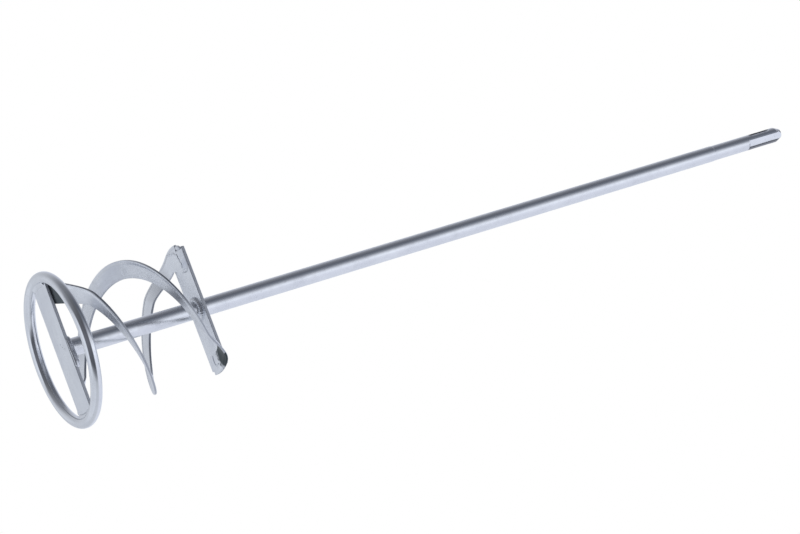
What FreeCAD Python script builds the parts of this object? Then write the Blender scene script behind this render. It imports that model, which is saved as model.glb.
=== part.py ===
"""Mortar mixing paddle with an SDS-plus shank.

A round rod carries two helical ribbons between two flat crossbars. A ring of round wire
closes the mixing end. All of it is mild steel, welded together and zinc plated.

Frame: the ring lies on the XY plane, with its centre over the origin. The rod rises along
+Z to the shank. Both crossbars lie along X. Millimetres.
"""

import FreeCAD, Part
import math
import os

import Sketcher

DIMENSIONS = (
    # alias, value, what it is
    ("overall_length", 540.0, "underside of the ring to the tip of the shank"),
    ("shaft_diameter", 10.4, "hot-rolled rod, which runs a little over its nominal 10 mm"),
    ("shank_diameter", 10.0, "SDS-plus shank, ground to size"),
    ("shank_ground_length", 60.0, "ground stretch, measured from the tip"),
    ("shank_step_length", 0.6, "taper between the rod and the ground stretch"),
    ("ring_mean_radius", 42.0, "centre line of the ring's wire"),
    ("ring_wire_diameter", 6.5, "wire of the ring"),
    ("bar_width", 21.0, "both crossbars"),
    ("bar_thickness", 2.0, "both crossbars"),
    ("bar_edge_round", 0.4, "rolled edges of the crossbar strip"),
    ("lower_bar_height", 3.0, "underside of the lower crossbar"),
    ("upper_bar_height", 88.0, "underside of the upper crossbar"),
    ("upper_bar_radius", 37.5, "rounded ends of the upper crossbar"),
    ("shaft_hole_gap", 0.1, "radial room round the rod in the upper crossbar"),
    ("blade_outer_radius", 39.2, "outer edge of both ribbons"),
    ("blade_inner_radius", 28.3, "inner edge of both ribbons"),
    ("blade_foot_width", 2.2, "how much wider the ribbon is at its foot, towards the rod"),
    ("blade_foot_turn", 15.0, "degrees over which it keeps that width"),
    ("blade_foot_blend", 45.0, "degrees over which it then narrows"),
    ("blade_thickness", 1.5, "ribbon, measured along the rod"),
    ("blade_edge_break", 0.25, "corners of the ribbon's section"),
    ("blade_lead", 82.0, "rise of the free ribbon in one whole turn"),
    ("blade_raise", 0.4, "how far the free ribbon stands above the middle of the crossbars"),
    ("blade_cone", 1.5, "how far the inner edge leads the outer one at mid length"),
    ("tab_overhang", 7.0, "degrees of ribbon past the crossbar's centre line"),
    ("tab_reach", 20.0, "degrees of ribbon that lie flat before it lifts off"),
    ("lift_turn", 40.0, "degrees over which the tab blends into the free ribbon"),
    ("shank_turn", 118.0, "degrees from +X to the first driving groove"),
    ("shank_taper_length", 4.5, "lead-in at the tip"),
    ("shank_taper_depth", 1.7, "lead-in at the tip, on the radius"),
    ("drive_groove_length", 30.0, "two grooves open at the tip"),
    ("drive_groove_width", 5.0, "two grooves open at the tip"),
    ("drive_groove_floor", 3.3, "distance of the groove's floor from the axis"),
    ("ball_groove_radius", 3.3, "two closed grooves for the locking balls"),
    ("ball_groove_centre", 6.9, "distance of the ball's centre from the axis"),
    ("ball_groove_start", 11.0, "first ball centre, measured from the tip"),
    ("ball_groove_travel", 13.0, "straight run of the ball's centre"),
    ("weld_bite", 0.3, "how deep a bead runs into the steel beside it"),
    ("weld_leg", 2.6, "size of the beads round the rod"),
    ("ring_weld_length", 3.3, "bead on the lower crossbar, measured inwards from the ring"),
    ("ring_weld_sweep", 28.0, "degrees of the bead between crossbar and ring"),
    ("tab_weld_width", 2.4, "bead across the end of a ribbon"),
    ("tab_weld_lap", 0.8, "how far that bead laps on to the ribbon"),
    ("tab_weld_height", 2.1, "height of that bead over the crossbar"),
)
BLADE_STEPS = 96
Z_AXIS = FreeCAD.Vector(0, 0, 1)
X_AXIS = FreeCAD.Vector(1, 0, 0)

doc = FreeCAD.newDocument("mixing_paddle")
sheet = doc.addObject("Spreadsheet::Sheet", "Sizes")


def fill_sheet():
    """One row for each driving dimension: name, value, meaning."""
    for row, (alias, number, meaning) in enumerate(DIMENSIONS, start=1):
        sheet.set(f"A{row}", alias)
        sheet.set(f"B{row}", str(number))
        sheet.setAlias(f"B{row}", alias)
        sheet.set(f"C{row}", meaning)
    doc.recompute()


def value(expression):
    """The number that an expression of sheet cells gives now."""
    return float(sheet.evalExpression(expression))


def size(alias):
    return value(f"Sizes.{alias}")


# ---- sketch helpers -------------------------------------------------------------------


def new_body(label):
    body = doc.addObject("PartDesign::Body", label)
    body.Label = label
    return body


def plane_of(body, role):
    return next(p for p in body.Origin.OriginFeatures if p.Role == role)


def new_sketch(body, name, role):
    sketch = body.newObject("Sketcher::SketchObject", name)
    sketch.AttachmentSupport = (plane_of(body, role), [""])
    sketch.MapMode = "FlatFace"
    return sketch


def bind(sketch, constraint, expression):
    row = sketch.addConstraint(constraint)
    sketch.setExpression(f"Constraints[{row}]", expression)


def pin(sketch, edge, end, place):
    """Ties a point to the sketch's origin by its two coordinates."""
    for kind, axis, expression in zip(("DistanceX", "DistanceY"), (-2, -1), place):
        number = value(expression)
        if number > 0:
            tie = Sketcher.Constraint(kind, -1, 1, edge, end, number)
            bind(sketch, tie, expression)
        elif number < 0:
            tie = Sketcher.Constraint(kind, edge, end, -1, 1, -number)
            bind(sketch, tie, f"-({expression})")
        else:
            sketch.addConstraint(Sketcher.Constraint("PointOnObject", edge, end, axis))


def polygon(body, name, role, corners):
    """A closed outline of straight lines. Each corner is a pair of expressions."""
    sketch = new_sketch(body, name, role)
    points = [FreeCAD.Vector(value(x), value(y), 0) for x, y in corners]
    count = len(points)
    for i in range(count):
        sketch.addGeometry(Part.LineSegment(points[i], points[(i + 1) % count]))
    for i in range(count):
        sketch.addConstraint(Sketcher.Constraint("Coincident", i, 2, (i + 1) % count, 1))
        pin(sketch, i, 1, corners[i])
    return sketch


def circle(sketch, radius, place=("0", "0")):
    """A circle of that radius expression, centred at a pair of expressions."""
    centre = FreeCAD.Vector(value(place[0]), value(place[1]), 0)
    edge = sketch.addGeometry(Part.Circle(centre, Z_AXIS, value(radius)))
    pin(sketch, edge, 3, place)
    bind(sketch, Sketcher.Constraint("Radius", edge, value(radius)), radius)


def strip_outline(sketch, radius, width):
    """Two straight sides along X, closed by arcs about the origin."""
    reach = value(radius)
    half = value(width) / 2
    turn = math.asin(half / reach)
    inset = reach * math.cos(turn)
    corners = [FreeCAD.Vector(x, y, 0) for x, y in ((-inset, -half), (inset, -half))]
    corners += [FreeCAD.Vector(inset, half, 0), FreeCAD.Vector(-inset, half, 0)]
    whole = Part.Circle(FreeCAD.Vector(0, 0, 0), Z_AXIS, reach)
    sketch.addGeometry(Part.LineSegment(corners[0], corners[1]))
    sketch.addGeometry(Part.ArcOfCircle(whole, -turn, turn))
    sketch.addGeometry(Part.LineSegment(corners[2], corners[3]))
    sketch.addGeometry(Part.ArcOfCircle(whole, math.pi - turn, math.pi + turn))
    for first, second in ((0, 1), (1, 2), (2, 3), (3, 0)):
        sketch.addConstraint(Sketcher.Constraint("Coincident", first, 2, second, 1))
    for arc in (1, 3):
        sketch.addConstraint(Sketcher.Constraint("Coincident", arc, 3, -1, 1))
        bind(sketch, Sketcher.Constraint("Radius", arc, reach), radius)
    for side in (0, 2):
        sketch.addConstraint(Sketcher.Constraint("Horizontal", side))
    for below, above in (((0, 1), (-1, 1)), ((-1, 1), (2, 1))):
        tie = Sketcher.Constraint("DistanceY", *below, *above, half)
        bind(sketch, tie, f"{width} / 2")


# ---- feature helpers ------------------------------------------------------------------


def pad(body, sketch, length):
    feature = body.newObject("PartDesign::Pad", f"{sketch.Name}_pad")
    feature.Profile = sketch
    feature.setExpression("Length", length)
    body.Tip = feature
    return feature


def revolve(body, sketch, degrees="360"):
    """Turns a sketch of the XZ plane about Z, half each way."""
    feature = body.newObject("PartDesign::Revolution", f"{sketch.Name}_turned")
    feature.Profile = sketch
    feature.ReferenceAxis = (sketch, ["V_Axis"])
    feature.Midplane = True
    feature.setExpression("Angle", degrees)
    body.Tip = feature
    return feature


def raise_to(item, height):
    item.setExpression("Placement.Base.z", height)


def must_shrink(body, before, name):
    """A cut that points away from the solid takes nothing and raises no error."""
    doc.recompute()
    if body.Shape.Volume > before - 1:
        raise RuntimeError(f"{name} cuts nothing")
    return body.Shape.Volume


# ---- the pieces -----------------------------------------------------------------------


def shaft():
    """The rod from the lower crossbar to the tip, with its SDS-plus grooves."""
    body = new_body("shaft")
    foot = "Sizes.lower_bar_height + Sizes.bar_thickness"
    length = f"Sizes.overall_length - ({foot})"
    rod, shank = "Sizes.shaft_diameter / 2", "Sizes.shank_diameter / 2"
    ground = f"{length} - Sizes.shank_ground_length"
    shoulder = f"{length} - Sizes.shank_taper_length"
    tip_radius = f"{shank} - Sizes.shank_taper_depth"
    outline = (
        ("0", "0"), (rod, "0"), (rod, f"{ground} - Sizes.shank_step_length"),
        (shank, ground), (shank, shoulder), (tip_radius, length), ("0", length),
    )
    revolve(body, polygon(body, "shaft_outline", "XZ_Plane", outline))
    doc.recompute()
    left = body.Shape.Volume

    floor = "Sizes.drive_groove_floor"
    wide = "Sizes.drive_groove_width / 2"
    slot = ((floor, f"-{wide}"), ("Sizes.shaft_diameter", f"-{wide}"))
    slot += (("Sizes.shaft_diameter", wide), (floor, wide))
    sketch = polygon(body, "drive_groove", "XY_Plane", slot)
    sketch.setExpression("AttachmentOffset.Base.z", length)
    pocket = body.newObject("PartDesign::Pocket", "drive_groove_cut")
    pocket.Profile = sketch
    pocket.setExpression("Length", "Sizes.drive_groove_length")
    left = must_shrink(body, left, "drive groove")
    opposite(body, [pocket], "drive_grooves")
    left = must_shrink(body, left, "second drive groove")

    cuts = ball_groove(body, length)
    left = must_shrink(body, left, "ball groove")
    opposite(body, cuts, "ball_grooves")
    must_shrink(body, left, "second ball groove")
    raise_to(body, foot)
    body.Placement.Rotation = FreeCAD.Rotation(Z_AXIS, 1)
    body.setExpression("Placement.Rotation.Angle", "Sizes.shank_turn * 1 deg")
    return body


def opposite(body, cuts, name):
    """Repeats cuts on the far side of the rod."""
    pattern = body.newObject("PartDesign::PolarPattern", name)
    pattern.Originals = cuts
    pattern.Axis = (axis_of(body, "Z_Axis"), [""])
    pattern.Angle = 360
    pattern.Occurrences = 2
    body.Tip = pattern


def axis_of(body, role):
    return next(a for a in body.Origin.OriginFeatures if a.Role == role)


def ball_groove(body, length):
    """The room that a locking ball sweeps: a cylinder with a ball at each end."""
    high = f"{length} - Sizes.ball_groove_start"
    low = f"{high} - Sizes.ball_groove_travel"
    cuts = []
    for name, kind, height in (
        ("ball_groove_run", "Cylinder", low),
        ("ball_groove_low_end", "Sphere", low),
        ("ball_groove_high_end", "Sphere", high),
    ):
        cut = body.newObject(f"PartDesign::Subtractive{kind}", name)
        cut.setExpression("Radius", "Sizes.ball_groove_radius")
        cut.setExpression("Placement.Base.y", "Sizes.ball_groove_centre")
        cut.setExpression("Placement.Base.z", height)
        if kind == "Cylinder":
            cut.setExpression("Height", "Sizes.ball_groove_travel")
        body.Tip = cut
        cuts.append(cut)
    return cuts


def ring():
    """Round wire bent to a circle that stands on the XY plane."""
    body = new_body("ring")
    sketch = new_sketch(body, "ring_wire", "XZ_Plane")
    circle(sketch, "Sizes.ring_wire_diameter / 2", ("Sizes.ring_mean_radius", "0"))
    revolve(body, sketch)
    raise_to(body, "Sizes.ring_wire_diameter / 2")
    return body


def crossbar(label, end_radius, height, hole=None):
    """A flat strip along X with rounded edges, and a hole for the rod where it has one."""
    body = new_body(label)
    sketch = new_sketch(body, f"{label}_outline", "XY_Plane")
    strip_outline(sketch, end_radius, "Sizes.bar_width")
    if hole:
        circle(sketch, hole)
    strip = pad(body, sketch, "Sizes.bar_thickness")
    doc.recompute()
    rounded = body.newObject("PartDesign::Fillet", f"{label}_edges")
    rounded.Base = (strip, outer_edges(strip.Shape))
    rounded.setExpression("Radius", "Sizes.bar_edge_round")
    body.Tip = rounded
    raise_to(body, height)
    return body


def outer_edges(shape):
    """The names of a strip's edges, leaving out those of the hole."""
    names = []
    for number, edge in enumerate(shape.Edges, start=1):
        in_hole = edge.BoundBox.DiagonalLength < size("bar_width") * 0.9
        upright = edge.BoundBox.ZLength > 0.1
        if upright or not in_hole:
            names.append(f"Edge{number}")
    return names


def ease(share):
    """A smooth step from 0 to 1."""
    share = min(1.0, max(0.0, share))
    return share * share * (3 - 2 * share)


def blade_height(turned):
    """Height of the ribbon's middle after some degrees, counted from the lower crossbar."""
    low = size("lower_bar_height") + size("bar_thickness") + size("blade_thickness") / 2
    high = size("upper_bar_height") - size("blade_thickness") / 2
    middle = (low + high) / 2 + size("blade_raise")
    free = middle + size("blade_lead") * (turned - 180) / 360
    nearest_tab, tab_height = (turned, low) if turned < 180 else (360 - turned, high)
    share = ease((nearest_tab - size("tab_reach")) / size("lift_turn"))
    return tab_height + share * (free - tab_height)


def blade_corners(turned):
    """The ribbon's cross-section there: a flat rectangle with its four corners broken."""
    inner, outer = size("blade_inner_radius"), size("blade_outer_radius")
    half, cut = size("blade_thickness") / 2, size("blade_edge_break")
    middle = blade_height(turned)
    cone = size("blade_cone") * ease((min(turned, 360 - turned) - size("tab_reach")) / 90)
    narrowed = ease((turned - size("blade_foot_turn")) / size("blade_foot_blend"))
    inner -= size("blade_foot_width") * (1 - narrowed)
    corners = (
        (inner + cut, -half), (outer - cut, -half), (outer, cut - half), (outer, half - cut),
        (outer - cut, half), (inner + cut, half), (inner, half - cut), (inner, cut - half),
    )
    angle = math.radians(turned)
    points = []
    for radius, above in corners:
        lead = cone * ((outer - radius) / (outer - inner) - 0.5)
        height = middle + above + lead
        points.append(FreeCAD.Vector(radius * math.cos(angle), radius * math.sin(angle), height))
    return points


def blade(label, start):
    """A ribbon that climbs once round the rod, with both ends flat on the crossbars.

    Its pitch changes along it, so it is not a plain helix: each corner of the section runs
    along a curve of its own, and ruled faces join the curves.
    """
    first = -size("tab_overhang")
    whole = 360 + 2 * size("tab_overhang")
    stations = [blade_corners(first + whole * i / BLADE_STEPS) for i in range(BLADE_STEPS + 1)]
    edges = []
    for points in zip(*stations):
        curve = Part.BSplineCurve()
        curve.interpolate(list(points))
        edges.append(curve.toShape())
    faces = [Part.makeRuledSurface(edges[i - 1], edges[i]) for i in range(len(edges))]
    for end in (stations[0], stations[-1]):
        faces.append(Part.Face(Part.makePolygon(end + end[:1])))
    shell = Part.makeShell(faces)
    shell.sewShape()
    solid = Part.makeSolid(Part.Shell(shell.Faces))
    if solid.Volume < 0:
        solid.reverse()
    item = doc.addObject("Part::Feature", label)
    item.Label = label
    item.Shape = solid
    item.Placement = FreeCAD.Placement(FreeCAD.Vector(), FreeCAD.Rotation(Z_AXIS, start))
    return item


def ring_weld(label, start):
    """The bead that fills the corner between the lower crossbar's end and the ring."""
    body = new_body(label)
    inside = "Sizes.ring_mean_radius - Sizes.ring_wire_diameter / 4"
    toe = "Sizes.ring_mean_radius - Sizes.ring_wire_diameter / 2 - Sizes.ring_weld_length"
    top = "Sizes.lower_bar_height + Sizes.weld_bite"
    low = "Sizes.ring_wire_diameter / 9"
    edge = "Sizes.lower_bar_height - Sizes.weld_bite / 5"
    corners = ((toe, edge), (inside, low), (inside, top), (toe, top))
    sketch = polygon(body, f"{label}_section", "XZ_Plane", corners)
    revolve(body, sketch, "Sizes.ring_weld_sweep * 1 deg")
    body.Placement = FreeCAD.Placement(FreeCAD.Vector(), FreeCAD.Rotation(Z_AXIS, start))
    return body


def shaft_weld(label, height, upside_down):
    """A fillet bead all round the rod where it meets a crossbar."""
    body = new_body(label)
    inside = "Sizes.shaft_diameter / 2 - Sizes.weld_bite"
    skin = "Sizes.shaft_diameter / 2"
    leg = "Sizes.weld_leg"
    throat = f"{leg} * 0.4"
    corners = (
        (inside, "-Sizes.weld_bite"), (f"{skin} + {leg}", "-Sizes.weld_bite"),
        (f"{skin} + {leg}", "Sizes.weld_bite / 3"), (f"{skin} + {throat}", throat),
        (f"{skin} + Sizes.weld_bite / 3", leg), (inside, leg),
    )
    revolve(body, polygon(body, f"{label}_section", "XZ_Plane", corners))
    turn = FreeCAD.Rotation(X_AXIS, 180 if upside_down else 0)
    body.Placement = FreeCAD.Placement(FreeCAD.Vector(), turn)
    raise_to(body, height)
    return body


def tab_weld(label, start, height, upside_down):
    """The bead across the end of a ribbon, which ties it to a crossbar."""
    body = new_body(label)
    width, lap, high = "Sizes.tab_weld_width", "Sizes.tab_weld_lap", "Sizes.tab_weld_height"
    bite = "Sizes.weld_bite"
    corners = (
        (f"-{width}", f"-{bite}"), (lap, f"-{bite}"), (lap, f"{high} - {bite}"),
        (f"{lap} / 4", high), (f"-{width} / 2", f"{high} * 0.7"), (f"-{width}", f"{bite} / 3"),
    )
    sketch = polygon(body, f"{label}_section", "YZ_Plane", corners)
    sketch.setExpression("AttachmentOffset.Base.z", "Sizes.blade_inner_radius + Sizes.weld_bite")
    span = "Sizes.upper_bar_radius - Sizes.blade_inner_radius - 3 * Sizes.weld_bite"
    pad(body, sketch, span)
    flip = FreeCAD.Rotation(X_AXIS, 180 if upside_down else 0)
    overhang = size("tab_overhang")
    turn = FreeCAD.Rotation(Z_AXIS, start + (overhang if upside_down else -overhang))
    body.Placement = FreeCAD.Placement(FreeCAD.Vector(), turn * flip)
    raise_to(body, height)
    return body


def paddle():
    """Every piece, in the order of assembly."""
    lower_top = "Sizes.lower_bar_height + Sizes.bar_thickness"
    upper_face = "Sizes.upper_bar_height"
    ring_inside = "Sizes.ring_mean_radius - Sizes.ring_wire_diameter / 2"
    hole = "Sizes.shaft_diameter / 2 + Sizes.shaft_hole_gap"
    pieces = [shaft(), ring()]
    pieces.append(crossbar("lower_crossbar", ring_inside, "Sizes.lower_bar_height"))
    pieces.append(crossbar("upper_crossbar", "Sizes.upper_bar_radius", upper_face, hole))
    pieces.append(shaft_weld("shaft_foot_weld", lower_top, False))
    pieces.append(shaft_weld("shaft_collar_weld", upper_face, True))
    for side, start in (("a", 0), ("b", 180)):
        pieces.append(blade(f"helix_blade_{side}", start))
        pieces.append(ring_weld(f"ring_weld_{side}", start))
        pieces.append(tab_weld(f"blade_{side}_foot_weld", start, lower_top, False))
        pieces.append(tab_weld(f"blade_{side}_head_weld", start, upper_face, True))
    return pieces


def check(pieces):
    """Stops before anything is written if an object failed or a shape isn't sound."""
    for item in doc.Objects:
        if "Invalid" in item.State or "Error" in item.State:
            raise RuntimeError(f"{item.Name} failed: {item.State}")
    for piece in pieces:
        shape = piece.Shape
        if shape.isNull() or not shape.isValid() or len(shape.Solids) != 1:
            raise RuntimeError(f"{piece.Label} isn't one valid solid")


def write(pieces):
    os.makedirs("parts", exist_ok=True)
    for piece in pieces:
        piece.Shape.exportStep(f"parts/{piece.Label}.step")
        box = piece.Shape.BoundBox
        print(f"{piece.Label:20s} {piece.Shape.Volume:10.1f} mm3, z {box.ZMin:.2f} to {box.ZMax:.2f}")


fill_sheet()
all_pieces = paddle()
doc.recompute()
check(all_pieces)
write(all_pieces)
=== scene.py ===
"""Looks of the mortar mixing paddle: bright zinc-plated steel, rippled weld beads, soft studio light."""

import math
import random

import bmesh
import bpy
from mathutils import Matrix, Vector


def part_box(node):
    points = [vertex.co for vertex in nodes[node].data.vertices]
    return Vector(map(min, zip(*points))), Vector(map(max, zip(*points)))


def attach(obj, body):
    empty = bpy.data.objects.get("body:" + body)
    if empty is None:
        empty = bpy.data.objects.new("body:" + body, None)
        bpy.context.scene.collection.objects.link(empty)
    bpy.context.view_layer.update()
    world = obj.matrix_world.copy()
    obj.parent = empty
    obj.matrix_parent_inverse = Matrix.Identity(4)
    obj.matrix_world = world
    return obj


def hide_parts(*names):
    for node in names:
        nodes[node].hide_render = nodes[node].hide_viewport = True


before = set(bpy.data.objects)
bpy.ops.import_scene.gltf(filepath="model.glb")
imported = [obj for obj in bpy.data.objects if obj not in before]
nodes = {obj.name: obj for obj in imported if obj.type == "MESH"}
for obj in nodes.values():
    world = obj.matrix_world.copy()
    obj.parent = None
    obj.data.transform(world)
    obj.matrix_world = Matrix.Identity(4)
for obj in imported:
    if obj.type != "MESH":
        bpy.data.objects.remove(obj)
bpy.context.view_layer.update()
scene = bpy.context.scene

MM = 0.001
UP = Vector((0, 0, 1))
DOWN = Vector((0, 0, -1))
ring_low, ring_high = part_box("ring")
rod_low, rod_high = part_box("shaft")
lower_low, lower_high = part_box("lower_crossbar")
upper_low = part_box("upper_crossbar")[0]
ROD_RADIUS = (rod_high.x - rod_low.x) / 2
WIRE_RADIUS = (ring_high.z - ring_low.z) / 2
RING_RADIUS = ring_high.x - WIRE_RADIUS
# Heights of the crossbars' flat sides.
LOWER_UNDER = lower_low.z
LOWER_TOP = lower_high.z
UPPER_UNDER = upper_low.z


# ---- node helpers ---------------------------------------------------------------------


class Graph:
    """A short way to write a node tree."""

    def __init__(self, tree):
        self.tree = tree
        self.tree.nodes.clear()

    def add(self, kind, inputs=None, **settings):
        node = self.tree.nodes.new(kind)
        for name, setting in settings.items():
            setattr(node, name, setting)
        for socket, source in (inputs or {}).items():
            self.feed(node.inputs[socket], source)
        return node

    def feed(self, socket, source):
        if isinstance(source, bpy.types.NodeSocket):
            self.tree.links.new(source, socket)
        else:
            socket.default_value = source

    def coordinate(self, kind):
        return self.add("ShaderNodeTexCoord").outputs[kind]

    def split(self, vector):
        return self.add("ShaderNodeSeparateXYZ", {0: vector}).outputs

    def math(self, operation, first, second=0.0):
        return self.add("ShaderNodeMath", {0: first, 1: second}, operation=operation).outputs[0]

    def plus(self, first, second):
        return self.math("ADD", first, second)

    def times(self, first, second):
        return self.math("MULTIPLY", first, second)

    def measure(self, operation, first, second=(0.0, 0.0, 0.0)):
        """One number from two vectors, or from the first alone."""
        node = self.add("ShaderNodeVectorMath", {0: first, 1: second}, operation=operation)
        return node.outputs["Value"]

    def radius(self, place):
        """Distance from the rod's axis."""
        inputs = {0: place, 1: (1.0, 1.0, 0.0)}
        level = self.add("ShaderNodeVectorMath", inputs, operation="MULTIPLY")
        return self.measure("LENGTH", level.outputs[0])

    def noise(self, vector, scale, detail, roughness):
        inputs = {"Vector": vector, "Scale": scale, "Detail": detail, "Roughness": roughness}
        return self.add("ShaderNodeTexNoise", inputs).outputs["Fac"]

    def spread(self, fac, low, high, to_low=0.0, to_high=1.0, kind="LINEAR"):
        """Moves the range from low to high onto another one, and holds what lies outside it."""
        inputs = {"Value": fac, 1: low, 2: high, 3: to_low, 4: to_high}
        return self.add("ShaderNodeMapRange", inputs, interpolation_type=kind).outputs[0]

    def ramp(self, fac, stops):
        """A colour by position. Each stop is a position and a brightness or colour."""
        node = self.add("ShaderNodeValToRGB", {"Fac": fac})
        elements = node.color_ramp.elements
        elements.remove(elements[-1])
        elements[0].position = stops[0][0]
        elements[0].color = rgba(stops[0][1])
        for position, colour in stops[1:]:
            elements.new(position).color = rgba(colour)
        return node.outputs["Color"]

    def mix(self, fac, first, second, blend="MIX"):
        node = self.add("ShaderNodeMix", data_type="RGBA", blend_type=blend)
        self.feed(node.inputs[0], fac)
        self.feed(node.inputs[6], first)
        self.feed(node.inputs[7], second)
        return node.outputs[2]

    def bump(self, height, strength, distance, under=None):
        inputs = {"Height": height, "Strength": strength, "Distance": distance}
        if under is not None:
            inputs["Normal"] = under
        return self.add("ShaderNodeBump", inputs).outputs[0]

    def finish_metal(self, colour, rough, normal):
        inputs = {"Base Color": colour, "Roughness": rough, "Metallic": 1.0, "Normal": normal}
        shader = self.add("ShaderNodeBsdfPrincipled", inputs)
        self.add("ShaderNodeOutputMaterial", {"Surface": shader.outputs[0]})


def rgba(colour):
    """An opaque colour from one number or three."""
    if isinstance(colour, (int, float)):
        colour = (colour, colour, colour)
    return (*colour, 1.0)


def new_material(name):
    material = bpy.data.materials.new(name)
    material.use_nodes = True
    return material, Graph(material.node_tree)


# ---- materials ------------------------------------------------------------------------

ZINC_LIGHT = rgba((0.83, 0.85, 0.88))
ZINC_DARK = rgba((0.70, 0.72, 0.77))
STAIN = rgba((0.60, 0.60, 0.63))
DRAWN_LINE = rgba((0.62, 0.64, 0.69))
SPECK = rgba((0.42, 0.42, 0.44))
# These three colours are painted shade: on the sideways faces of flat stock, in the driving grooves and
# in tight corners.
EDGE_SHADE_COLOUR = rgba((0.34, 0.36, 0.40))
GROOVE_SHADE_COLOUR = rgba((0.10, 0.105, 0.12))
CORNER_SHADE_COLOUR = rgba((0.05, 0.065, 0.07))
WELD_LIGHT = rgba((0.80, 0.82, 0.86))
WELD_DARK = rgba((0.60, 0.62, 0.66))
WELD_SCALE = rgba((0.32, 0.31, 0.31))

# The first driving groove's turn about the rod, in degrees from +X, and its closed end.
GROOVE_TURN = 118.0
GROOVE_START = rod_high.z - 30.0 * MM

# Where a ribbon's surface falls away to its rolled outer edge, by distance from the rod's axis,
# and how far it falls.
LIP_START = 36.7 * MM
LIP_END = 38.4 * MM
LIP_DROP = 0.38 * MM


def drawn_lines(graph, place, way):
    """Noise that is stretched along the steel, which makes drawing lines.

    way is how the steel runs: "rod" along Z, "bar" along X, "wire" and "ribbon" round the rod.
    """
    x, y, z = graph.split(place)
    turn = graph.math("ARCTAN2", y, x)
    across = 300.0
    scale = 4.0
    if way == "rod":
        parts = (graph.math("COSINE", turn), graph.math("SINE", turn), graph.times(z, 1.6))
        scale = 60.0
    elif way == "bar":
        parts = (graph.times(x, 8.0), graph.times(y, across), graph.times(z, across))
    else:
        along = graph.times(graph.math("ABSOLUTE", turn), 0.35)
        up = across if way == "wire" else 60.0
        parts = (graph.times(graph.radius(place), across), along, graph.times(z, up))
    joined = graph.add("ShaderNodeCombineXYZ", dict(enumerate(parts)))
    return graph.noise(joined.outputs[0], scale, detail=4.0, roughness=0.6)


def groove_shade(graph, place):
    """Painted shade on the side wall and at the start of each driving groove, in the shank."""
    turn = math.radians(GROOVE_TURN)
    height = graph.split(place)[2]
    out = graph.measure("DOT_PRODUCT", place, (math.cos(turn), math.sin(turn), 0.0))
    aside = graph.measure("DOT_PRODUCT", place, (-math.sin(turn), math.cos(turn), 0.0))
    aside = graph.times(aside, graph.math("SIGN", out))
    facing = graph.spread(graph.math("ABSOLUTE", out), 0.8 * MM, 1.8 * MM)

    wall = graph.times(graph.spread(aside, 2.1 * MM, 2.4 * MM), facing)
    wall = graph.times(wall, graph.spread(height, GROOVE_START - 0.3 * MM, GROOVE_START))
    from_start = graph.math("ABSOLUTE", graph.math("SUBTRACT", height, GROOVE_START + 0.1 * MM))
    start = graph.times(graph.spread(from_start, 0.7 * MM, 0.4 * MM), facing)
    start = graph.times(start, graph.spread(aside, -0.9 * MM, -0.4 * MM))
    return graph.times(graph.math("MAXIMUM", wall, start), 0.85)


def corner_shade(graph, place, upward, centre, reach):
    """Painted shade: a patch with a ragged edge round a point, on all surfaces but those that face up."""
    away = graph.measure("DISTANCE", place, centre)
    ragged = graph.times(graph.noise(place, scale=500.0, detail=4.0, roughness=0.6), reach * 0.8)
    patch = graph.spread(graph.plus(away, ragged), reach * 1.15, reach * 0.95)
    return graph.times(patch, graph.spread(upward, 0.6, 0.3))


def zinc(name, way, roughness, streak=0.35, corners=(), edge_shade=0.0, lip=0.0):
    """Bright zinc over drawn or rolled steel: faint clouds and stains, drawing lines, specks and pits.

    Tight corners get painted shade, each patch given by a centre, a reach and a strength.
    streak is how strong the drawing lines are, edge_shade how dark the painted shade is on the
    sideways cut faces of flat stock, lip how far a ribbon's rolled edge falls.
    """
    material, graph = new_material(name)
    place = graph.coordinate("Object")
    clouds = graph.spread(graph.noise(place, scale=55.0, detail=4.0, roughness=0.55), 0.35, 0.68)
    stains = graph.spread(graph.noise(place, scale=190.0, detail=5.0, roughness=0.65), 0.48, 0.75)
    specks = graph.spread(graph.noise(place, scale=900.0, detail=2.0, roughness=0.5), 0.68, 0.74)
    pits = graph.noise(place, scale=2600.0, detail=2.0, roughness=0.6)
    lines = drawn_lines(graph, place, way)

    colour = graph.mix(graph.times(clouds, 0.5), ZINC_LIGHT, ZINC_DARK)
    colour = graph.mix(graph.times(stains, 0.22), colour, STAIN)
    colour = graph.mix(graph.spread(lines, 0.42, 0.64, 0.0, streak * 0.5), colour, DRAWN_LINE)
    colour = graph.mix(graph.times(specks, 0.35), colour, SPECK)
    rough = graph.plus(roughness - 0.06, graph.times(clouds, 0.06))
    rough = graph.plus(rough, graph.times(stains, 0.07))
    rough = graph.plus(rough, graph.times(lines, 0.06))

    upward = graph.split(graph.coordinate("Normal"))[2]
    # Painted shade: faces that look sideways, the cut edges of the stock, are darkened as if they
    # mirrored a dark band. They are also a little rougher.
    if edge_shade:
        edge = graph.spread(graph.math("ABSOLUTE", upward), 0.72, 0.45)
        colour = graph.mix(graph.times(edge, edge_shade), colour, EDGE_SHADE_COLOUR)
        rough = graph.plus(rough, graph.times(edge, 0.10))
    # Painted shade in the driving grooves.
    if way == "rod":
        colour = graph.mix(groove_shade(graph, place), colour, GROOVE_SHADE_COLOUR)
    # Painted shade round tight corners, where neighbouring parts shade each other. These spots are a
    # little rougher too.
    for centre, reach, strength in corners:
        shade_patch = corner_shade(graph, place, upward, centre, reach)
        colour = graph.mix(graph.times(shade_patch, strength), colour, CORNER_SHADE_COLOUR)
        rough = graph.plus(rough, graph.times(shade_patch, 0.12))

    normal = graph.bump(pits, 0.25, 0.03 * MM)
    normal = graph.bump(lines, streak, 0.04 * MM, normal)
    if lip:
        fall = graph.spread(graph.radius(place), LIP_START, LIP_END, 1.0, 0.0, "SMOOTHSTEP")
        normal = graph.bump(fall, 1.0, lip, normal)
    graph.finish_metal(colour, rough, normal)
    return material


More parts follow.
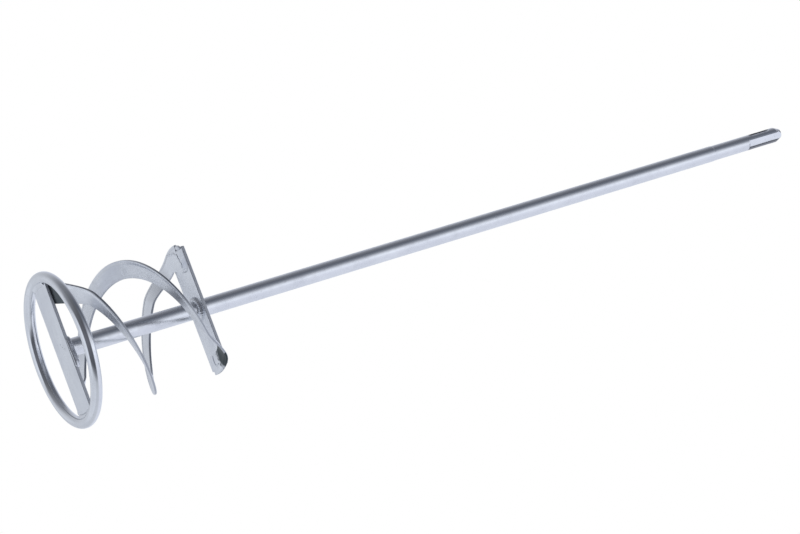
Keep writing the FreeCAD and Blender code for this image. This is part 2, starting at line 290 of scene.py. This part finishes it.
def weld_zinc(name):
    """Plated weld metal: darker and greyer in random patches, with a little glassy scale."""
    material, graph = new_material(name)
    place = graph.coordinate("Object")
    patches = graph.spread(graph.noise(place, scale=420.0, detail=4.0, roughness=0.6), 0.38, 0.66)
    spots = graph.spread(graph.noise(place, scale=700.0, detail=2.0, roughness=0.5), 0.62, 0.70)
    grain = graph.noise(place, scale=2200.0, detail=3.0, roughness=0.6)
    colour = graph.mix(patches, WELD_LIGHT, WELD_DARK)
    colour = graph.mix(graph.times(spots, 0.6), colour, WELD_SCALE)
    rough = graph.spread(patches, 0.0, 1.0, 0.20, 0.38)
    graph.finish_metal(colour, rough, graph.bump(grain, 0.5, 0.08 * MM))
    return material


def dress(node, material):
    """Gives a CAD node its one material."""
    mesh = nodes[node].data
    mesh.materials.clear()
    mesh.materials.append(material)


# Painted shade in tight corners: at both ribbons' feet, and at ribbon b's upper end.
HALF_TURN = Matrix.Rotation(math.pi, 3, "Z")
FOOT_CORNER = Vector((29.5, 13.5, 6.0)) * MM
HEAD_CORNER = Vector((-31.5, 15.0, 87.0)) * MM
CORNERS_A = ((FOOT_CORNER, 14.0 * MM, 0.92),)
CORNERS_B = ((HALF_TURN @ FOOT_CORNER, 5.5 * MM, 0.5), (HEAD_CORNER, 12.5 * MM, 1.0))
STEEL = {
    "shaft": zinc("rod_zinc", "rod", 0.24, streak=0.3),
    "ring": zinc("wire_zinc", "wire", 0.11, streak=0.2),
    "lower_crossbar": zinc("strip_zinc", "bar", 0.30, edge_shade=0.4),
    "upper_crossbar": zinc("strip_zinc_upper", "bar", 0.28, edge_shade=0.45),
    "helix_blade_a": zinc("ribbon_zinc_a", "ribbon", 0.28, corners=CORNERS_A, edge_shade=0.75, lip=LIP_DROP),
    "helix_blade_b": zinc("ribbon_zinc_b", "ribbon", 0.28, corners=CORNERS_B, edge_shade=0.75, lip=LIP_DROP),
}
for node_name, steel in STEEL.items():
    dress(node_name, steel)
WELD = weld_zinc("weld_zinc")


# ---- shapes ---------------------------------------------------------------------------

BEAD_STEP = 0.22 * MM
BEAD_SIDES = 14
# Height of a bead's hidden lower half, as a share of its upper one.
BEAD_UNDER = 0.35
# A bead's size and line wander. They change over this length, by shares of its width and height.
WANDER_LENGTH = 3.0 * MM
WIDTH_WANDER = 0.12
HEIGHT_WANDER = 0.16
LINE_WANDER = 0.1
WANDER_VALUES = 64
# How much fuller a bead is in the middle of a pool than between two pools, and how far it falls
# short of its nominal size there.
POOL_SWELL = 0.13
POOL_WAIST = 0.06
# How far the crest leans ahead, as a share of a pool's length.
CREST_LEAN = 0.28
# Where a bead's end starts, as a share of its full size, and its length as a share of the width.
END_SIZE = 0.12
END_LENGTH = 0.55


def bead(name, path, ups, width, height, seed, ripple=1.1 * MM, closed=False, relief=1.0, metal=WELD):
    """A rippled bead: a half-round section swept along a path, with overlapping pools of metal.

    path holds points, ups the bead's outward direction at each of them. ripple is a pool's length,
    relief scales the ripples. A closed bead ends where it starts, an open one has round ends.
    """
    draw = random.Random(seed)
    points, ups = resample(path, ups, BEAD_STEP, closed)
    count = len(points)
    phase = draw.random()
    wobble = [draw.uniform(-1, 1) for _ in range(WANDER_VALUES)]
    period = count * BEAD_STEP / WANDER_LENGTH if closed else 0
    mesh = bmesh.new()
    rows = []
    for i, (point, out) in enumerate(zip(points, ups)):
        ahead = points[(i + 1) % count] if closed else points[min(i + 1, count - 1)]
        behind = points[i - 1] if closed or i else points[0]
        along = (ahead - behind).normalized()
        side = along.cross(out).normalized()
        lift = side.cross(along).normalized()
        travelled = i * BEAD_STEP
        pool = (travelled / ripple + phase) % 1.0
        swell = 1.0 + relief * (POOL_SWELL * (1.0 - (2.0 * pool - 1.0) ** 2) - POOL_WAIST)
        slow = relief * smooth_noise(wobble, travelled / WANDER_LENGTH, period)
        to_go = (count - 1) * BEAD_STEP - travelled
        taper = 1.0 if closed else round_end(min(travelled, to_go), width)
        half_width = width / 2 * swell * (1 + WIDTH_WANDER * slow) * taper
        rise = height * swell * (1 + HEIGHT_WANDER * slow) * taper
        centre = point + side * (LINE_WANDER * width * slow)
        lean = CREST_LEAN * relief * ripple
        rows.append(section(mesh, centre, (side, lift, along), half_width, rise, lean))
    skin(mesh, rows, closed)
    return to_object(mesh, name, metal)


def round_end(near_end, width):
    """The share of its full section that a bead has, at a distance from its nearer end."""
    share = min(1.0, END_SIZE + near_end / (width * END_LENGTH))
    return math.sqrt(1 - (1 - share) ** 2)


def section(mesh, centre, axes, half_width, rise, lean):
    """The bead's outline at one place. Its crest leans ahead."""
    side, lift, along = axes
    row = []
    for k in range(BEAD_SIDES):
        angle = 2 * math.pi * k / BEAD_SIDES
        level = math.sin(angle)
        if level < 0:
            level *= BEAD_UNDER
        place = centre + side * (math.cos(angle) * half_width) + lift * (level * rise)
        crest = (1 - abs(math.cos(angle))) * max(0.0, level)
        row.append(mesh.verts.new(place + along * (lean * crest)))
    return row


def skin(mesh, rows, closed):
    """Faces between neighbouring rows of points, and a cap on each open end."""
    following = rows[1:] + rows[:1] if closed else rows[1:]
    for first, second in zip(rows, following):
        join(mesh, first, second)
    if not closed:
        mesh.faces.new(list(reversed(rows[0])))
        mesh.faces.new(rows[-1])
    bmesh.ops.recalc_face_normals(mesh, faces=mesh.faces)


def join(mesh, first, second):
    """A band of faces between two loops of as many points."""
    for k in range(len(first)):
        j = (k + 1) % len(first)
        mesh.faces.new((first[k], first[j], second[j], second[k]))


def smooth_noise(values, at, period=0):
    """Evenly spaced random values, joined smoothly. A period makes the end meet the start."""
    size = len(values)
    if period:
        size = round(period)
        at = at * size / period
    low = math.floor(at)
    share = at - low
    share = share * share * (3 - 2 * share)
    return values[low % size] * (1 - share) + values[(low + 1) % size] * share


def resample(path, ups, step, closed):
    """Points at an even distance along a path of straight runs, with their directions."""
    path = list(path)
    ups = list(ups)
    if closed:
        path.append(path[0])
        ups.append(ups[0])
    lengths = [0.0]
    for first, second in zip(path, path[1:]):
        lengths.append(lengths[-1] + (second - first).length)
    count = round(lengths[-1] / step)
    points, directions = [], []
    run = 0
    for i in range(count if closed else count + 1):
        at = lengths[-1] * i / count
        while run < len(lengths) - 2 and lengths[run + 1] < at:
            run += 1
        share = (at - lengths[run]) / (lengths[run + 1] - lengths[run])
        points.append(path[run].lerp(path[run + 1], share))
        directions.append(ups[run].lerp(ups[run + 1], share).normalized())
    return points, directions


def slab(name, outline_low, outline_high, low, high, metal):
    """A piece with sloping sides and broken edges, from its two outlines in millimetres."""
    mesh = bmesh.new()
    under = [mesh.verts.new(point) for point in on_level(outline_low, low)]
    over = [mesh.verts.new(point) for point in on_level(outline_high, high)]
    mesh.faces.new(under)
    mesh.faces.new(over)
    join(mesh, under, over)
    bmesh.ops.recalc_face_normals(mesh, faces=mesh.faces)
    bmesh.ops.bevel(mesh, geom=mesh.edges[:], offset=0.15 * MM, segments=2, affect="EDGES")
    return to_object(mesh, name, metal, smooth=False)


def spatter(name, spots):
    """Frozen drops of weld metal. Each spot is a place, the surface's direction, a spread and a count."""
    draw = random.Random(77)
    mesh = bmesh.new()
    for place, out, spread, count in spots:
        turn = out.to_track_quat("Z", "Y").to_matrix()
        for _ in range(count):
            away = draw.uniform(0.0, spread)
            angle = draw.uniform(0.0, 2 * math.pi)
            radius = draw.uniform(0.16, 0.42) * MM
            spot = place + turn @ Vector((away * math.cos(angle), away * math.sin(angle), 0.0))
            drop = bmesh.ops.create_icosphere(mesh, subdivisions=2, radius=radius)["verts"]
            squash = Vector((draw.uniform(0.8, 1.3), draw.uniform(0.8, 1.3), draw.uniform(0.5, 0.8)))
            for vert in drop:
                bulge = 1.0 + draw.uniform(-0.06, 0.06)
                vert.co = spot + turn @ Vector(c * q * bulge for c, q in zip(vert.co, squash))
    return to_object(mesh, name, WELD)


def to_object(mesh, name, material, smooth=True):
    data = bpy.data.meshes.new(name)
    mesh.to_mesh(data)
    mesh.free()
    for face in data.polygons:
        face.use_smooth = smooth
    data.materials.append(material)
    piece = bpy.data.objects.new(name, data)
    scene.collection.objects.link(piece)
    return piece


def on_root(piece, replaced=None):
    """Weld metal on the one body, in the place of a CAD node if it replaces one."""
    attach(piece, "root")
    if replaced:
        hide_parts(replaced)


def on_level(points, height):
    """Points at one height, from their X and Y in millimetres."""
    return [Vector((x * MM, y * MM, height)) for x, y in points]


def polar(radius, degrees, height):
    angle = math.radians(degrees)
    return Vector((radius * math.cos(angle), radius * math.sin(angle), height))


# ---- weld beads -----------------------------------------------------------------------

# The bead on ribbon a's foot, along X and Y in millimetres. Half a turn makes it ribbon b's.
FOOT_LINE = ((37.6, -4.9), (34.0, -4.5), (31.0, -4.0), (28.7, -3.6))
# Where the bead round the rod's foot was begun and ended, it ran over the crossbar's edge.
RUN_LINE = ((5.2, 6.8), (3.0, 8.6), (0.0, 9.3), (-3.4, 9.4), (-6.6, 9.9), (-10.0, 10.0), (-13.0, 9.2))
# The flat end of ribbon a under the upper crossbar: its lower outline, and the wider one where its
# weld metal meets the crossbar.
TAB_LOW = (
    (26.6, -10.3), (25.6, -6.0), (23.9, -1.5), (22.2, 2.5), (22.9, 4.6), (24.8, 5.9), (27.2, 6.4),
    (31.2, 6.0), (34.0, 5.0), (36.2, 2.0), (36.9, -2.0), (37.3, -6.0), (36.2, -10.3),
)
TAB_HIGH = (
    (26.6, -10.3), (25.6, -6.0), (23.9, -1.5), (21.9, 3.5), (22.0, 6.5), (23.2, 9.2), (25.6, 10.3),
    (31.2, 10.3), (36.0, 10.3), (37.0, 6.5), (37.4, 0.0), (37.4, -5.0), (36.2, -10.3),
)
# Lines of the beads along that flat end, and of the short hooked one on ribbon b's end.
RIM_LINE = (
    (37.0, -9.6), (36.0, -7.6), (36.4, -5.6), (35.4, -3.8), (35.9, -1.4), (35.2, 0.4), (33.6, 2.2),
    (33.4, 3.8), (31.6, 4.6),
)
HEAD_LINE = ((31.8, 3.2), (30.4, 4.8), (28.6, 4.6), (27.2, 5.8), (24.8, 4.9))
CORNER_LINE = ((37.6, 3.2), (36.7, 6.4), (35.5, 9.6))
HOOK_LINE = ((-28.5, 0.6), (-32.9, -0.3), (-34.9, 1.4), (-34.4, 4.9))
# The same beads: name, line, depth below the crossbar, width and height in millimetres, seed, and
# the CAD node that is replaced.
HEAD_BEADS = (
    ("head_bead_a", HEAD_LINE, 1.5, 1.1, 0.35, 40, "blade_a_head_weld"),
    ("head_bead_b", HOOK_LINE, 1.5, 1.0, 0.35, 220, "blade_b_head_weld"),
    ("rim_bead_a", RIM_LINE, 1.5, 1.1, 0.35, 60, None),
    ("corner_bead_a", CORNER_LINE, 0.5, 2.6, 0.9, 61, None),
)
# Spatter: a place, the surface's direction there, how far drops spread from it, and how many.
DROPS = (
    (polar(ROD_RADIUS + 1.6 * MM, 95, LOWER_TOP + 0.2 * MM), UP, 3.6 * MM, 9),
    (polar(ROD_RADIUS + 0.1 * MM, 120, LOWER_TOP + 3.6 * MM), Vector((-0.5, 0.87, 0.3)), 1.5 * MM, 5),
    (Vector((1.5 * MM, 2.0 * MM, LOWER_UNDER - 0.02 * MM)), DOWN, 4.5 * MM, 4),
    (Vector((33.0 * MM, 7.5 * MM, UPPER_UNDER - 0.05 * MM)), DOWN, 1.8 * MM, 6),
    (Vector((-33.0 * MM, 8.6 * MM, UPPER_UNDER - 0.05 * MM)), DOWN, 1.6 * MM, 8),
    (polar(ROD_RADIUS + 2.8 * MM, 80, UPPER_UNDER - 0.05 * MM), DOWN, 1.6 * MM, 5),
)


def rod_bead(name, height, sign, seed, replaced):
    """The bead all round the rod, in the corner above (sign 1) or below (sign -1) a crossbar."""
    stations = range(0, 360, 6)
    outside = ROD_RADIUS + 0.75 * MM
    path = [polar(outside, a, height + sign * 0.65 * MM) for a in stations]
    ups = [polar(1.0, a, sign) for a in stations]
    size = {"width": 3.4 * MM, "height": 1.15 * MM, "ripple": 1.3 * MM}
    on_root(bead(name, path, ups, seed=seed, closed=True, **size), replaced)


def ring_bead(side, start):
    """Between the lower crossbar's end and the ring, on the underside. It is almost smooth."""
    half_sweep = 13.5
    stations = [start + half_sweep * i / 10 for i in range(-10, 11)]
    inside = RING_RADIUS - WIRE_RADIUS - 0.1 * MM
    path = [polar(inside, a, LOWER_UNDER - 0.35 * MM) for a in stations]
    ups = [polar(0.5, a + 180, -1.0) for a in stations]
    size = {"width": 4.6 * MM, "height": 0.8 * MM, "ripple": 1.4 * MM}
    looks = {"relief": 0.15, "metal": STEEL["ring"]}
    piece = bead(f"ring_bead_{side}", path, ups, seed=20 + start, **size, **looks)
    on_root(piece, f"ring_weld_{side}")


def foot_bead(side, start):
    """Across a ribbon's lower end."""
    spin = Matrix.Rotation(math.radians(start), 3, "Z")
    path = [spin @ point for point in on_level(FOOT_LINE, LOWER_TOP + 0.35 * MM)]
    size = {"width": 2.7 * MM, "height": 1.5 * MM}
    piece = bead(f"foot_bead_{side}", path, [UP] * len(path), seed=30 + start, **size)
    on_root(piece, f"blade_{side}_foot_weld")


rod_bead("foot_bead", LOWER_TOP, 1, 11, "shaft_foot_weld")
rod_bead("collar_bead", UPPER_UNDER, -1, 12, "shaft_collar_weld")
for side, start in (("a", 0), ("b", 180)):
    ring_bead(side, start)
    foot_bead(side, start)

tab_low = UPPER_UNDER - 1.54 * MM
tab_high = UPPER_UNDER - 0.02 * MM
tab = slab("head_tab_a", TAB_LOW, TAB_HIGH, tab_low, tab_high, STEEL["helix_blade_a"])
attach(tab, "root")
for name, line, depth, width, height, seed, replaced in HEAD_BEADS:
    path = on_level(line, UPPER_UNDER - depth * MM)
    size = {"width": width * MM, "height": height * MM, "ripple": 0.9 * MM}
    on_root(bead(name, path, [DOWN] * len(path), seed=seed, **size), replaced)

path = on_level(RUN_LINE, LOWER_TOP - 0.3 * MM)
outward = [Vector((0, 0.6, 1))] * len(path)
size = {"width": 5.0 * MM, "height": 2.2 * MM, "ripple": 1.3 * MM}
on_root(bead("foot_run", path, outward, seed=90, relief=0.12, **size))
on_root(spatter("spatter", DROPS))


# ---- stage, light, camera -------------------------------------------------------------

FLOOR_DARK = rgba((0.83, 0.83, 0.82))
FLOOR_LIGHT = rgba((0.88, 0.88, 0.875))
# Brightness of the tent's wall by turn about +Z, from +X.
WALL = (
    (0.0, (0.24, 0.25, 0.28)), (0.11, (0.11, 0.12, 0.15)), (0.18, (0.20, 0.22, 0.26)),
    (0.23, (0.46, 0.48, 0.54)), (0.265, (0.74, 0.77, 0.84)), (0.30, (0.95, 0.99, 1.08)),
    (0.33, (0.98, 1.02, 1.12)), (0.38, (0.84, 0.87, 0.97)), (0.46, (0.77, 0.80, 0.90)),
    (0.62, (0.76, 0.79, 0.88)), (0.80, (0.74, 0.78, 0.88)), (0.90, (0.55, 0.57, 0.64)),
    (1.0, (0.24, 0.25, 0.28)),
)
# The same low down. It takes over from the wall between the two heights below, which are 0 at the
# horizon and -1 straight down.
LOW_WALL = (
    (0.0, (0.26, 0.27, 0.30)), (0.06, (0.20, 0.21, 0.23)), (0.12, (0.14, 0.145, 0.16)),
    (0.20, (0.11, 0.115, 0.13)), (0.27, (0.15, 0.155, 0.18)), (0.37, (0.09, 0.095, 0.11)),
    (0.405, (0.24, 0.25, 0.28)), (0.44, (0.57, 0.60, 0.65)), (0.52, (0.63, 0.66, 0.72)),
    (0.80, (0.63, 0.66, 0.715)), (0.90, (0.54, 0.56, 0.60)), (1.0, (0.26, 0.27, 0.30)),
)
LOW_WALL_START = 0.30
LOW_WALL_FULL = 0.12
# Straight down the tent has one tone, which takes over in the same way.
BOTTOM = rgba((0.80, 0.84, 0.92))
BOTTOM_START = -0.88
BOTTOM_FULL = -0.97
# Share of the tent's brightness by height, from straight down to straight up.
HEIGHT = ((0.0, 1.0), (0.25, 1.14), (0.33, 0.98), (0.42, 0.96), (0.6, 1.0), (1.0, 1.0))


def pale_floor():
    """A pale floor under the ring. It can't be seen from below, where the main camera stands."""
    half = 6.0
    height = -0.3 * MM
    mesh = bmesh.new()
    corners = ((-half, -half), (half, -half), (half, half), (-half, half))
    mesh.faces.new([mesh.verts.new((x, y, height)) for x, y in corners])

    material, graph = new_material("floor_paint")
    mottle = graph.noise(graph.coordinate("Object"), scale=9.0, detail=5.0, roughness=0.55)
    colour = graph.mix(mottle, FLOOR_DARK, FLOOR_LIGHT)
    paint = graph.add("ShaderNodeBsdfPrincipled", {"Base Color": colour, "Roughness": 0.75})
    clear = graph.add("ShaderNodeBsdfTransparent")
    back = graph.add("ShaderNodeNewGeometry").outputs["Backfacing"]
    blend = graph.add("ShaderNodeMixShader", {0: back, 1: paint.outputs[0], 2: clear.outputs[0]})
    graph.add("ShaderNodeOutputMaterial", {"Surface": blend.outputs[0]})

    floor = to_object(mesh, "floor", material, smooth=False)
    for kind in ("shadow", "diffuse", "glossy", "transmission"):
        setattr(floor, f"visible_{kind}", False)


def studio_world():
    """A white tent with a few darker bands, which is what bright steel needs to read as steel."""
    world = bpy.data.worlds.new("studio")
    scene.world = world
    world.use_nodes = True
    graph = Graph(world.node_tree)
    x, y, z = graph.split(graph.coordinate("Generated"))
    turn = graph.math("DIVIDE", graph.math("ARCTAN2", y, x), 2 * math.pi)
    turn = graph.math("FRACT", graph.plus(turn, 1.0))
    wall = graph.ramp(turn, WALL)
    low_share = graph.spread(z, LOW_WALL_START, LOW_WALL_FULL)
    wall = graph.mix(low_share, wall, graph.ramp(turn, LOW_WALL))
    wall = graph.mix(graph.spread(z, BOTTOM_START, BOTTOM_FULL), wall, BOTTOM)
    by_height = graph.ramp(graph.spread(z, -1.0, 1.0), HEIGHT)
    tent = graph.mix(1.0, wall, by_height, "MULTIPLY")
    seen = graph.add("ShaderNodeLightPath").outputs["Is Camera Ray"]
    colour = graph.mix(seen, tent, rgba(1.0))
    lamp = graph.add("ShaderNodeBackground", {"Color": colour, "Strength": 1.0})
    graph.add("ShaderNodeOutputWorld", {"Surface": lamp.outputs[0]})


def softbox(name, place, power, colour=(1.0, 1.0, 1.0)):
    """A square lamp that points at the rod. It lights the floor; the steel mirrors the tent alone."""
    target = Vector((0.0, 0.0, rod_high.z * 0.4))
    data = bpy.data.lights.new(name, "AREA")
    data.shape = "SQUARE"
    data.size = 1.2
    data.energy = power
    data.color = colour
    lamp = bpy.data.objects.new(name, data)
    lamp.location = place
    lamp.rotation_euler = (target - Vector(place)).to_track_quat("-Z", "Y").to_euler()
    lamp.visible_camera = False
    lamp.visible_glossy = False
    scene.collection.objects.link(lamp)


def studio_camera(place, turn, lens):
    """A camera at a place in metres, turned by degrees, with a lens in millimetres."""
    data = bpy.data.cameras.new("camera")
    data.sensor_width = 36.0
    data.lens = lens
    data.clip_start = 0.01
    camera = bpy.data.objects.new("camera", data)
    camera.location = place
    camera.rotation_euler = [math.radians(degrees) for degrees in turn]
    scene.collection.objects.link(camera)
    scene.camera = camera


pale_floor()
studio_world()
softbox("key", (0.3, 1.3, 1.2), 9.0)
softbox("fill", (-1.2, 0.6, 0.5), 4.0, (0.94, 0.96, 1.0))
# Below the ring's plane, a little over a metre off, rolled so that the rod runs up to the right.
studio_camera(place=(-0.1763, 1.0635, -0.3897), turn=(-27.34, -123.88, -49.26), lens=91.9)
scene.view_settings.view_transform = "Standard"
